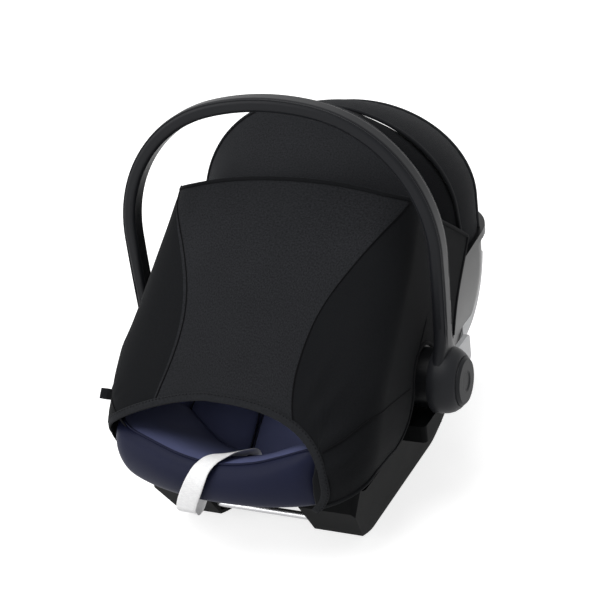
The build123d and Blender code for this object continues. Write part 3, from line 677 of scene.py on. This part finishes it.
tagSet = {"s": -172 * mm, "z": 20 * mm, "reach": 15 * mm, "gap": 1.3 * mm, "root": 2 * mm, "turn": 0.02,
          "strip": (60, 14 * mm, 0.7 * mm, 30 * mm)}


# A folded tape loop sewn into the flank, left bare
def makeTag():
    root = coverForm.point(tagSet["s"], tagSet["z"])
    out = coverForm.normal(tagSet["s"], tagSet["z"])
    side = out.cross(upward).normalized()
    up = side.cross(out).normalized()

    def path(t):
        share = 1 - abs(2 * t - 1)
        reach = tagSet["reach"] * share - tagSet["root"]
        along = out * math.copysign(1.0, 0.5 - t) if abs(t - 0.5) > tagSet["turn"] else side
        gap = side * (tagSet["gap"] * math.cos(math.pi * t) * min(1.0, 2 * share))
        return root + out * reach + gap, up, along.cross(up).normalized()

    return makeStrip("flankTag", tagSet["strip"], path, "hem")


flankTag = makeTag()

canopySet = {
    "foot": 62 * mm, "shoulder": 0.36, "legShare": 0.14, "cloth": 1.6 * mm, "across": 120, "along": 28,
    # Arches in mm: crown y, crown z, foot y, half width
    "visorEdge": (38, 216, 74, 147), "frontBow": (100, 303, 105, 151), "mainEdge": (222, 236, 226, 149.5),
    "bandFront": (150, 282, 207, 156), "bandRear": (256, 255, 262, 156),
    # Sheets: two arches, sag, look, CAD node, gathers, share of the arch left off at the feet
    "sheets": {
        "canopyVisor": ("visorEdge", "frontBow", 3 * mm, "visor", "canopy_visor", 0, 0.0),
        # The middle sheet takes the darker cloth that carries painted shade
        "canopyMain": ("frontBow", "mainEdge", -5 * mm, "canopyPaintedShade", "canopy_main", 26, 0.0),
        "canopyBand": ("bandFront", "bandRear", -5 * mm, "band", "canopy_band", 34, 0.03),
    },
    # Bindings: sheet, arch, width, thickness, lift
    "bindings": {
        "canopyBowSeam": ("canopyVisor", "frontBow", 5 * mm, 3.2 * mm, 0.2 * mm),
        "canopyVisorHem": ("canopyVisor", "visorEdge", 6 * mm, 3.0 * mm, 0.0),
        "canopyMainHem": ("canopyMain", "mainEdge", 5 * mm, 3.0 * mm, 0.0),
        "canopyBandFrontHem": ("canopyBand", "bandFront", 6 * mm, 4.0 * mm, 0.0),
        "canopyBandRearHem": ("canopyBand", "bandRear", 7 * mm, 4.5 * mm, 0.0),
    },
    "sagCentre": 0.12, "ripple": 0.5 * mm, "bindingCentre": 0.14, "bindingEnd": 0.01,
    "bindingSteps": 140, "bindingLength": 0.62,
    # Cut length of each sheet, and how much more cloth the cut takes than the sheet
    "cutLength": 0.66, "cutShare": 1.25,
}


# Point on an arch, from the left foot (0) over the crown to the right foot (1)
def archPoint(arch, a):
    crownY, crownZ, footY, half = (value * mm for value in canopySet[arch])
    footZ, leg = canopySet["foot"], canopySet["legShare"]
    rise = math.hypot(crownY - footY, crownZ - footZ)
    up = Vector((0, (crownY - footY) / rise, (crownZ - footZ) / rise))
    shoulder = rise * canopySet["shoulder"]
    foot = Vector((0, footY, footZ))
    if leg <= a <= 1 - leg:
        angle = math.pi * (1 - (a - leg) / (1 - 2 * leg))
        return foot + Vector((half * math.cos(angle), 0, 0)) + up * between(shoulder, rise, math.sin(angle))
    side = -1 if a < leg else 1
    share = a / leg if a < leg else (1 - a) / leg
    return foot + Vector((side * half, 0, 0)) + up * (shoulder * share)


# Cloth stretched from one arch to another: it bows between them and gathers a little near its seams
def canopySheet(name, front, rear, sag, look, nodeName, gathers, span):
    axis = (archPoint(front, 0.5) + archPoint(rear, 0.5)) / 2 - upward * canopySet["sagCentre"]

    def place(u, v):
        a = span + (1 - 2 * span) * u
        at = archPoint(front, a).lerp(archPoint(rear, a), v)
        inward = axis - at
        inward.y = 0
        ripple = math.sin(gathers * 2 * math.pi * u) * (2 * abs(v - 0.5)) ** 3 * canopySet["ripple"]
        return at + inward.normalized() * (sag * 4 * v * (1 - v) + ripple)

    size = (pathLength(lambda u: place(u, 0.5), parts=60), pathLength(lambda v: place(0.5, v), parts=20))
    mesh = sheetMesh(name, canopySet["across"], canopySet["along"], size, place)
    piece = linked(mesh, [look], replaces=[nodeName])
    roundOff(piece, canopySet["cloth"])
    return piece


# Rolled edge or seam along an arch
def archBinding(name, arch, width, thickness, lift, look, span):
    def at(a):
        return archPoint(arch, a)

    def path(t):
        a = span + canopySet["bindingEnd"] + (1 - 2 * canopySet["bindingEnd"] - 2 * span) * t
        along = heading(at, a)
        centre = at(a)
        out = Vector((centre.x, 0, centre.z - canopySet["bindingCentre"])).normalized()
        across = along.cross(out).normalized()
        return centre + out * lift, across, along.cross(across).normalized()

    strip = (canopySet["bindingSteps"], width, thickness, canopySet["bindingLength"])
    return makeStrip(name, strip, path, look)


def makeCanopy():
    for name, plan in canopySet["sheets"].items():
        piece = canopySheet(name, *plan)
        rolls = [archBinding(roll, *rest, plan[3], plan[-1])
                 for roll, (sheet, *rest) in canopySet["bindings"].items() if sheet == name]


makeCanopy()

bolsterSet = {
    # Plan outlines of the rim and of the foot of the slope, the same at every height
    "outside": metres([(-1.0, 205, 157), (1.0, 205, 157)], 1),
    "inside": metres([(-1.0, 112, 100), (1.0, 112, 100)], 1),
    "end": -84 * mm, "bow": 0.20, "corner": 0.24, "steps": 120, "around": 52, "girth": 0.26, "length": 0.43,
    # Height of the rim line across the front; the roll leans a little with the cover
    "rim": metres([(-160, -4), (-100, -14), (-50, -24), (-6, -27), (40, -21), (75, -11), (105, -2),
                   (150, 6)]),
    "rimLow": -27 * mm, "liftFrom": -82, "liftOver": 48,
    # Section round the roll: turn, share of the way in from the rim line, height in mm
    "section": [(0, 0.08, -77), (1, -0.06, -72), (2, -0.12, -60), (3, -0.13, -46), (4, -0.09, -34),
                (5, 0.0, -27), (6, 0.10, -27.5), (7, 0.32, -34), (8, 0.62, -46), (9, 0.88, -58),
                (10, 1.0, -68), (11, 0.9, -76), (12, 0.45, -79), (13, 0.08, -77)],
    "front": 3, "back": 10, "liningEnd": 11,
    # How much of the bulge is left along the roll; less than none draws it in under the cover
    "fullness": [(-1.0, -0.3), (-0.84, -0.3), (-0.7, 0.5), (-0.56, 1.0), (0.0, 1.0), (0.36, 1.0),
                 (0.46, 0.4), (0.56, -0.3), (1.0, -0.3)],
    # How far the underside rises towards the ends
    "underside": metres([(0.0, 0), (0.35, 0), (0.5, 4), (0.65, 16), (0.8, 30), (1.0, 36)], 1),
    "endShare": 0.05, "endPower": 0.6,
    "seam": 5.3, "pipe": (140, 2.4 * mm, 2.4 * mm, 0.42), "pipeSpan": 0.97, "pipeStep": 0.00206,
    "pipeLift": 0.9 * mm,
}
rimForm = Outline(bolsterSet["outside"], bolsterSet["bow"], bolsterSet["corner"])
slopeForm = Outline(bolsterSet["inside"], bolsterSet["bow"], bolsterSet["corner"])


# Point of the roll at v along it (-1 to 1) and at a turn round its section
def bolsterPoint(v, turn):
    share, z = through(bolsterSet["section"], turn)
    outer = rimForm.point(v * rimForm.reach(bolsterSet["end"], 0), 0)
    inner = slopeForm.point(v * slopeForm.reach(bolsterSet["end"], 0), 0)
    if share < 0:
        share *= through(bolsterSet["fullness"], v)[0]
    place = outer.lerp(inner, share)
    high = min(1.0, max(0.0, (z - bolsterSet["liftFrom"]) / bolsterSet["liftOver"]))
    lift = through(bolsterSet["rim"], outer.x)[0] - bolsterSet["rimLow"]
    rise = through(bolsterSet["underside"], abs(v))[0]
    return Vector((place.x, place.y, z * mm + lift * high + rise * (1 - high)))


# The front roll of the seat with its slope down to the seat, closed and drawn in at both ends
def makeBolster():
    turns = bolsterSet["section"][-1][0]
    seam = bolsterSet["seam"]

    def place(u, v):
        along = 2 * v - 1
        middle = bolsterPoint(along, bolsterSet["front"]).lerp(bolsterPoint(along, bolsterSet["back"]), 0.5)
        fade = min(1.0, (1 - abs(along)) / bolsterSet["endShare"])
        full = math.sin(fade * math.pi / 2) ** bolsterSet["endPower"]
        return middle.lerp(bolsterPoint(along, u * turns), full)

    size = (bolsterSet["girth"], bolsterSet["length"])
    mesh = sheetMesh("frontBolster", bolsterSet["around"], bolsterSet["steps"], size, place, closed=True)
    piece = linked(mesh, ["leather", "lining"], replaces=["front_bolster"])
    # The inner slope takes the paler lining, whose colour carries painted light
    splitMaterials(mesh, size[0], lambda u: not seam < u * turns < bolsterSet["liningEnd"])
    roundOff(piece)

    def seamPoint(t):
        return bolsterPoint((2 * t - 1) * bolsterSet["pipeSpan"], seam)

    path = pipeOn(seamPoint, bolsterSet["pipeStep"], bolsterSet["pipeLift"])
    makeStrip("bolsterPiping", bolsterSet["pipe"], path, "leather")


makeBolster()
print("front bolster made")

insertSet = {
    # Pads: centre and half sizes in mm, degrees of tip that lift the rear and the outer side
    "pads": {
        "seatInsert": ((0, -44, -84), (97, 60, 15), (0, 0)),
        "legPadLeft": ((-62, -92, -54), (44, 50, 9), (40, 12)),
        "legPadRight": ((28, -92, -54), (44, 50, 9), (40, -12)),
    },
    "power": 0.42, "round": 0.75, "planRound": 0.45, "around": 64, "rise": 24, "size": (0.4, 0.2),
    "pipe": (160, 2.2 * mm, 2.2 * mm, 0.5), "pipeLevel": 0.62, "pipeStep": 0.004,
}


# A stuffed pad with rounded corners in plan, and the piping round it
def makeInsert(name):
    centre, half, (rearUp, sideUp) = insertSet["pads"][name]
    middle = Vector(centre) * mm
    tip = Matrix.Rotation(math.radians(rearUp), 3, "X") @ Matrix.Rotation(math.radians(sideUp), 3, "Y")

    def place(u, v):
        around, rise = 2 * math.pi * u, math.pi * (v - 0.5)
        flat = bent(math.cos(rise), insertSet["planRound"])
        x = half[0] * bent(math.cos(around), insertSet["power"]) * flat
        y = half[1] * bent(math.sin(around), insertSet["power"]) * flat
        return middle + tip @ Vector((x, y, half[2] * bent(math.sin(rise), insertSet["round"]))) * mm

    mesh = sheetMesh(name, insertSet["around"], insertSet["rise"], insertSet["size"], place, closed=True)
    piece = linked(mesh, ["lining"])
    roundOff(piece)
    path = pipeOn(lambda t: place(t, insertSet["pipeLevel"]), insertSet["pipeStep"])
    makeStrip(name + "Piping", insertSet["pipe"], path, "leatherDark")


for insertName in insertSet["pads"]:
    makeInsert(insertName)

padSet = {
    # Pieces: CAD node, body
    "pads": {
        "seatPad": ("seat_pad", "seat"), "backPad": ("back_pad", "seat"),
        "headrestPad": ("headrest", "headrest"),
        "shoulderPadLeft": ("shoulder_pad_left", "seat"), "shoulderPadRight": ("shoulder_pad_right", "seat"),
    },
    "weld": 0.01 * mm, "voxel": 5 * mm, "shrink": 2.0 * mm, "smoothings": 6, "smoothing": 0.5,
    "pressure": 4.0, "quality": 5, "frames": 20, "cap": 6 * mm,
}


# Puffs a closed mesh with Cloth under inner pressure, and limits how far any point goes
def puff(piece):
    start = [v.co.copy() for v in piece.data.vertices]
    cloth = piece.modifiers.new("puff", "CLOTH")
    cloth.settings.quality = padSet["quality"]
    cloth.settings.use_pressure = True
    cloth.settings.uniform_pressure_force = padSet["pressure"]
    cloth.settings.effector_weights.gravity = 0.0
    cloth.point_cache.frame_start = 1
    cloth.point_cache.frame_end = padSet["frames"]
    for number in range(1, padSet["frames"] + 1):
        scene.frame_set(number)
    shape = piece.evaluated_get(bpy.context.evaluated_depsgraph_get()).to_mesh()
    for vertex, old, new in zip(piece.data.vertices, start, shape.vertices):
        move = new.co - old
        vertex.co = old + move * (min(1.0, padSet["cap"] / move.length) if move.length > 0 else 0.0)
    piece.modifiers.remove(cloth)
    scene.frame_set(1)


# A pad grown from its plain CAD solid: remeshed, drawn in, puffed up again and smoothed
def makePad(name, nodeName, body):
    bm = bmesh.new()
    bm.from_mesh(nodes[nodeName].data)
    bmesh.ops.remove_doubles(bm, verts=bm.verts, dist=padSet["weld"])
    piece = linked(meshFrom(bm, name), ["lining"], body, [nodeName])
    addModifier(piece, "even", "REMESH", mode="VOXEL", voxel_size=padSet["voxel"])
    even = bpy.data.meshes.new_from_object(piece.evaluated_get(bpy.context.evaluated_depsgraph_get()))
    piece.modifiers.clear()
    piece.data = even
    bm = bmesh.new()
    bm.from_mesh(even)
    bm.normal_update()
    for vertex in bm.verts:
        vertex.co -= vertex.normal * padSet["shrink"]
    for _ in range(padSet["smoothings"]):
        bmesh.ops.smooth_vert(bm, verts=bm.verts, factor=padSet["smoothing"],
                              use_axis_x=True, use_axis_y=True, use_axis_z=True)
    bm.to_mesh(even)
    bm.free()
    dress(even, ["lining"])
    puff(piece)
    roundOff(piece)


for padName, padPlan in padSet["pads"].items():
    makePad(padName, *padPlan)
print("pads made")

webSet = {
    "width": 32 * mm, "thickness": 1.5 * mm, "spacing": 34 * mm, "step": 0.01, "steps": 60,
    # Side-view routes in mm, as y, z
    "shoulder": [(134.3, -103.0), (126, -90), (116.8, -75), (100, -38), (88, -15), (75, -6.8), (60, -9),
                 (46, -18), (33, -28.8)],
    "crotch": [(30, -149.5), (30, -138), (30, -126), (30, -114), (30, -99.5)],
}


# Harness webbing along a side-view route, centred on an x place
def makeWeb(name, route, x, nodeName):
    keys = [(i, y * mm, z * mm) for i, (y, z) in enumerate(webSet[route])]
    across = Vector((1, 0, 0))

    def at(t):
        return Vector((x, *through(keys, t * (len(keys) - 1))))

    def path(t):
        return at(t), across, across.cross(heading(at, t, webSet["step"])).normalized()

    length = pathLength(at, parts=100)
    piece = makeStrip(name, stripOf(webSet, length), path, "blackWeb", replaces=[nodeName])
    print(name, round(length, 4), "m long")


for webWord, webSide in [("left", -1), ("right", 1)]:
    makeWeb("shoulderWeb" + webWord.title(), "shoulder", webSide * webSet["spacing"],
            "shoulder_strap_" + webWord)
makeWeb("crotchWeb", "crotch", 0.0, "crotch_strap")

strapSet = {
    "width": 25 * mm, "thickness": 1.5 * mm, "steps": 200,
    # Centre line in mm out of the slot, over the roll, down to the loop and up behind: x, y, z, turn, tilt
    "route": [(9, -142, -56, -16, 50), (8, -147, -43, -18, 50), (4, -158, -36, -22, 42),
              (-3, -174, -28, -26, 26), (-9, -190, -23.5, -28, 10), (-14, -203, -23, -24, 2),
              (-19, -214, -28, -16, 0), (-25, -220, -40, -8, 0), (-33, -222, -56, -2, 0),
              (-40, -222, -71, 0, 0), (-43, -221, -81, 0, 0), (-42, -215, -87, 0, 0), (-39, -209, -82, 0, 0),
              (-34, -206, -70, -2, 0), (-27, -204, -56, -6, 0), (-20, -202, -44, -12, 0),
              (-15, -199, -36, -18, 0)],
    # Lips of the slot in the slope
    "slotY": -146 * mm, "slotZ": -45.5 * mm, "slotSlope": -0.4, "slotWidth": 36 * mm, "slotDepth": 5 * mm,
    "slotPower": 0.5, "lips": (80, 2.4 * mm, 2.0 * mm, 0.08),
}


# White pull strap: out of the slot in the slope, over the roll and down in a loop that turns to the front
def makePullStrap():
    keys = [(i, x * mm, y * mm, z * mm, math.radians(turn), math.radians(tilt))
            for i, (x, y, z, turn, tilt) in enumerate(strapSet["route"])]
    last = len(keys) - 1

    def at(t):
        return Vector(through(keys, t * last)[:3])

    def path(t):
        along = heading(at, t)
        turn, tilt = through(keys, t * last)[3:]
        flat = Vector((math.cos(turn) * math.cos(tilt), math.sin(turn) * math.cos(tilt), math.sin(tilt)))
        out = flat.cross(along).normalized()
        return at(t), along.cross(out).normalized(), out

    length = pathLength(at, parts=400)
    piece = makeStrip("pullStrap", stripOf(strapSet, length), path, "whiteWeb",
                      replaces=["pull_strap"])

    def lips(t):
        angle = 2 * math.pi * t
        x = strapSet["slotWidth"] / 2 * bent(math.cos(angle), strapSet["slotPower"])
        y = strapSet["slotDepth"] / 2 * bent(math.sin(angle), strapSet["slotPower"])
        centre = Vector((x, strapSet["slotY"] + y, strapSet["slotZ"] + y * strapSet["slotSlope"]))
        return centre, Vector((math.cos(angle), math.sin(angle), 0)), upward

    makeStrip("strapSlot", strapSet["lips"], lips, "leatherDark")
    print("pull strap", round(length, 4), "m long")


makePullStrap()

handleSet = {"halfSpan": 195 * mm, "bulge": 4.5 * mm, "height": 331 * mm, "cornerRadius": 170 * mm,
             "crownRadius": 300 * mm, "hubRadius": 40 * mm, "legs": 0.27, "corners": 0.40,
             "thickness": 17 * mm, "depth": 24 * mm, "setIn": 1.6 * mm,
             "bead": (200, 1.5 * mm, 1.5 * mm, 0.9), "beadAround": 8}


# Centre line of the handle in its plane, from the right foot (0) to the left (1), and the way outwards
def handlePoint(t):
    corner, crown, bulge = handleSet["cornerRadius"], handleSet["crownRadius"], handleSet["bulge"]
    legs, corners, foot = handleSet["legs"], handleSet["corners"], handleSet["hubRadius"]
    half = handleSet["halfSpan"] + bulge
    lean = math.asin((half - corner) / (crown - corner))
    crownZ = handleSet["height"] - crown
    cornerZ = crownZ + (crown - corner) * math.cos(lean)
    side = 1 if t < 0.5 else -1
    a = t if t < 0.5 else 1 - t
    if a < legs:
        z = between(foot, cornerZ, a / legs)
        x = half - bulge * (1 - z / cornerZ) ** 2
        out = Vector((1, 0, 2 * bulge * (z / cornerZ - 1) / cornerZ)).normalized()
    elif a < corners:
        angle = (math.pi / 2 - lean) * (a - legs) / (corners - legs)
        out = Vector((math.cos(angle), 0, math.sin(angle)))
        x, z = half - corner + corner * out.x, cornerZ + corner * out.z
    else:
        angle = lean * (0.5 - a) / (0.5 - corners)
        out = Vector((math.sin(angle), 0, math.cos(angle)))
        x, z = crown * out.x, crownZ + crown * out.z
    return Vector((side * x, 0, z)), Vector((side * out.x, 0, out.z))


# Fine moulded beads along the handle's two outer edges
def makeHandleBeads():
    for name, face in [("handleBeadFront", -1), ("handleBeadRear", 1)]:
        def path(t, face=face):
            centre, out = handlePoint(t)
            away = out * (handleSet["thickness"] / 2 - handleSet["setIn"])
            edge = Vector((0, face * (handleSet["depth"] / 2 - handleSet["setIn"]), 0))
            return centre + away + edge, Vector((0, 1, 0)), out

        makeStrip(name, handleSet["bead"], path, "handle", "handle",
                  around=handleSet["beadAround"])


makeHandleBeads()
print("handle beads made")

hubSet = {
    # Closed section of the turning housing in mm: distance from the middle of the seat, radius
    "section": [(186.5, 36), (186.5, 39), (187.6, 40), (197, 40.2), (205, 39.2), (211, 37), (215.6, 33.8),
                (218.2, 31), (218.9, 29.2), (216.1, 29.2), (216.1, 26), (200, 30), (190, 35)],
    "turnSteps": 96, "weld": 0.01 * mm,
    # Root of the handle's leg: where it starts and ends, its half width and how that spreads
    "rootTop": 88 * mm, "rootFoot": 20 * mm, "rootHalf": 11.4 * mm, "rootSpread": 23 * mm, "rootCurve": 2.6,
    "root": (40, 1.0, 16.6 * mm, 0.07), "rootAround": 40,
}


# Rounded housing that turns with the handle, spun about the hub's axis
def makeHubDome(word, side):
    bm = bmesh.new()
    ring = [bm.verts.new(hub + Vector((side * x, 0, r)) * mm) for x, r in hubSet["section"]]
    edges = [bm.edges.new((a, b)) for a, b in zip(ring, ring[1:] + ring[:1])]
    bmesh.ops.spin(bm, geom=ring + edges, cent=hub, axis=(1, 0, 0), angle=2 * math.pi,
                   steps=hubSet["turnSteps"], use_merge=True)
    bmesh.ops.remove_doubles(bm, verts=bm.verts, dist=hubSet["weld"])
    bmesh.ops.recalc_face_normals(bm, faces=bm.faces)
    mesh = meshFrom(bm, "hubDome" + word)
    linked(mesh, ["hub"], "handle", ["hub_housing_" + word.lower()])


# The leg of the handle spreads into the hub; ends are two places on the handle's centre line
def makeHandleRoot(word, ends):
    low, high = (handlePoint(t)[0] for t in ends)

    def path(t):
        z = between(hubSet["rootTop"], hubSet["rootFoot"], t)
        centre = low.lerp(high, (z - low.z) / (high.z - low.z))
        half = hubSet["rootHalf"] + hubSet["rootSpread"] * t ** hubSet["rootCurve"]
        return centre, Vector((0, 2 * half, 0)), Vector((1, 0, 0))

    makeStrip("handleRoot" + word, hubSet["root"], path, "handle", "handle",
              around=hubSet["rootAround"])


for hubWord, hubSide, rootEnds in [("Left", -1, (1.0, 0.9)), ("Right", 1, (0.0, 0.1))]:
    makeHubDome(hubWord, hubSide)
    makeHandleRoot(hubWord, rootEnds)
print("hub housings rounded and handle roots made")

cameraSet = {"azimuth": 25.4, "elevation": 10.2, "distance": 1.735, "target": (0, 17.9 * mm, 76.5 * mm),
             "fieldOfView": 24.0, "pitch": 15.0}


# The photograph looks at a seat that leans forward; the lean goes into the camera instead
def makeCamera():
    azimuth, elevation = math.radians(cameraSet["azimuth"]), math.radians(cameraSet["elevation"])
    level = math.cos(elevation)
    back = Vector((math.sin(azimuth) * level, -math.cos(azimuth) * level, math.sin(elevation)))
    right = Vector((math.cos(azimuth), math.sin(azimuth), 0))
    lean = Matrix.Rotation(math.radians(-cameraSet["pitch"]), 3, "X")
    place = hub + lean @ (Vector(cameraSet["target"]) + back * cameraSet["distance"])
    turn = Matrix((lean @ right, lean @ back.cross(right), lean @ back)).transposed().to_4x4()
    data = bpy.data.cameras.new("photoCamera")
    data.sensor_fit = "HORIZONTAL"
    data.angle = math.radians(cameraSet["fieldOfView"])
    camera = inScene("photoCamera", data)
    camera.matrix_world = Matrix.Translation(place) @ turn
    scene.camera = camera


studioSet = {
    "sky": 0.36, "floorColour": (0.68, 0.68, 0.68, 1.0), "floorGlow": 0.76, "floorSize": 30.0, "mottle": 3.0,
    # Lamps: strength, angle, direction they shine from
    "lamps": {"key": (2.0, 46.0, (-0.2, -0.3, 1.0)), "fill": (1.15, 40.0, (-0.8, -0.9, 0.32))},
}


# White where it is seen, dimmer as a lamp
def makeSky():
    sky = Finish("studioSky", bpy.data.worlds, "Background")
    inputs = {"Value": sky.seen(), "To Min": studioSet["sky"], "To Max": 1.0}
    strength = sky.node("MapRange", {}, inputs, "Result")
    scene.world = sky.shade({"Color": (1, 1, 1, 1), "Strength": strength})


def makeLamps():
    for name, (energy, angle, source) in studioSet["lamps"].items():
        sun = bpy.data.lights.new(name, "SUN")
        sun.energy = energy
        sun.angle = math.radians(angle)
        lamp = inScene(name, sun)
        lamp.rotation_mode = "QUATERNION"
        lamp.rotation_quaternion = Vector(source).to_track_quat("Z", "Y")


def makeFloor():
    bm = bmesh.new()
    bmesh.ops.create_grid(bm, x_segments=1, y_segments=1, size=studioSet["floorSize"] / 2)
    mesh = meshFrom(bm, "floor")
    finish = Finish("paleFloor")
    mottle = finish.noise(finish.objectPlace(), studioSet["mottle"], 2.0)
    glow = finish.mix(finish.seen(), (0, 0, 0, 1), (1, 1, 1, 1))
    mesh.materials.append(finish.shade({
        "Base Color": finish.varied(mottle, studioSet["floorColour"], 0.995, 1.0), "Roughness": 0.9,
        "Specular IOR Level": 0.0, "Emission Color": glow, "Emission Strength": studioSet["floorGlow"]}))
    inScene("floor", mesh)


makeCamera()
makeSky()
makeLamps()
makeFloor()
scene.view_settings.view_transform = "Standard"
print("camera and studio made")
